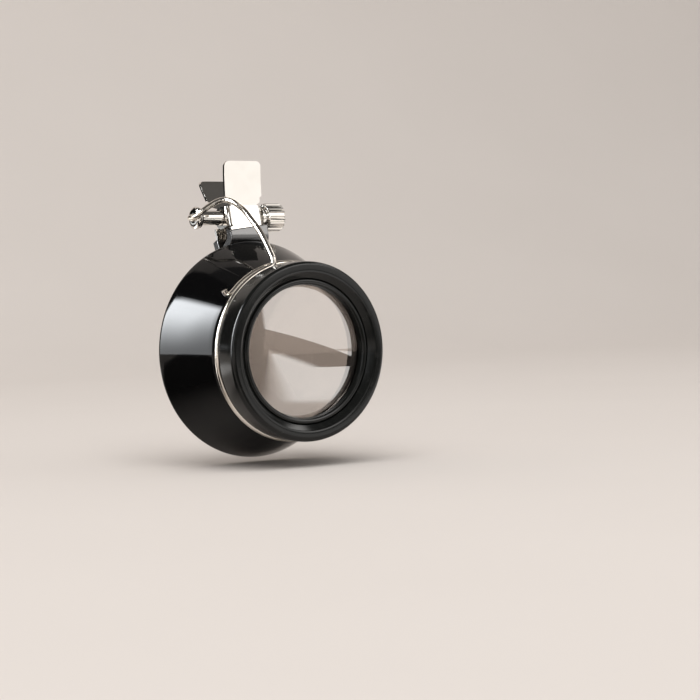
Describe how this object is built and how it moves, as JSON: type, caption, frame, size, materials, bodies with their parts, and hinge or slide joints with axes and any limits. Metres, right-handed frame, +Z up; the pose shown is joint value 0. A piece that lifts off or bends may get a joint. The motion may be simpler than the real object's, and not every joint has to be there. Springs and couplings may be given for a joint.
{
  "type": "clip-on loupe",
  "caption": "Clip-on loupe: a sprung two-jaw clip, a bent wire bracket that flips up about a knurled-nut pivot, and a conical eye cup with a lens behind a round bezel.",
  "frame": {"origin": "middle of the clip's grip, between the two sleeved jaw tips", "axes": "+Z up along the clip, -Y the way the loupe looks, +X to the right as seen from the front, where the nut is"},
  "size_m": [0.045, 0.0367, 0.0616],
  "materials": {
    "optical_glass": "polished",
    "satin_black_plastic": "satin moulded",
    "gloss_black_plastic": "mirror gloss",
    "spring_wire": "bright drawn",
    "nickel_plate": "bright nickel plate",
    "dark_vinyl": "smooth dipped"
  },
  "bodies": {
    "clip_front": {"front_jaw": "nickel_plate", "front_jaw_sleeve": "dark_vinyl", "hinge_tube": "nickel_plate", "friction_washer": "gloss_black_plastic", "nut_washer": "nickel_plate", "jaw_spring": "spring_wire"},
    "clip_rear": {"rear_jaw": "nickel_plate", "rear_jaw_sleeve": "dark_vinyl"},
    "holder": {"wire_bracket": "spring_wire", "pivot_screw": "nickel_plate"},
    "nut": {"knurled_nut": "nickel_plate"},
    "loupe": {"housing": "gloss_black_plastic", "front_bezel": "satin_black_plastic", "lens_retaining_ring": "satin_black_plastic", "lens": "optical_glass"}
  },
  "joints": [
    {"name": "clip_open", "type": "hinge", "parent": "clip_front", "child": "clip_rear", "pos_m": [0, 0, 0.00801], "axis": [1, 0, 0], "range_deg": [0, 38], "stiffness_Nm_per_rad": 0.02, "springref_deg": -28.65, "deforming": ["jaw_spring"]},
    {"name": "loupe_flip", "type": "hinge", "parent": "clip_front", "child": "holder", "pos_m": [0, 0, 0.00801], "axis": [-1, 0, 0], "range_deg": [-8, 92]},
    {"name": "nut_turn", "type": "hinge", "parent": "holder", "child": "nut", "pos_m": [0.008, 0, 0.00801], "axis": [1, 0, 0], "continuous": true},
    {"name": "loupe_turn", "type": "hinge", "parent": "holder", "child": "loupe", "pos_m": [-0.0007, -0.0205, -0.01929], "axis": [0, -1, 0], "continuous": true}
  ]
}
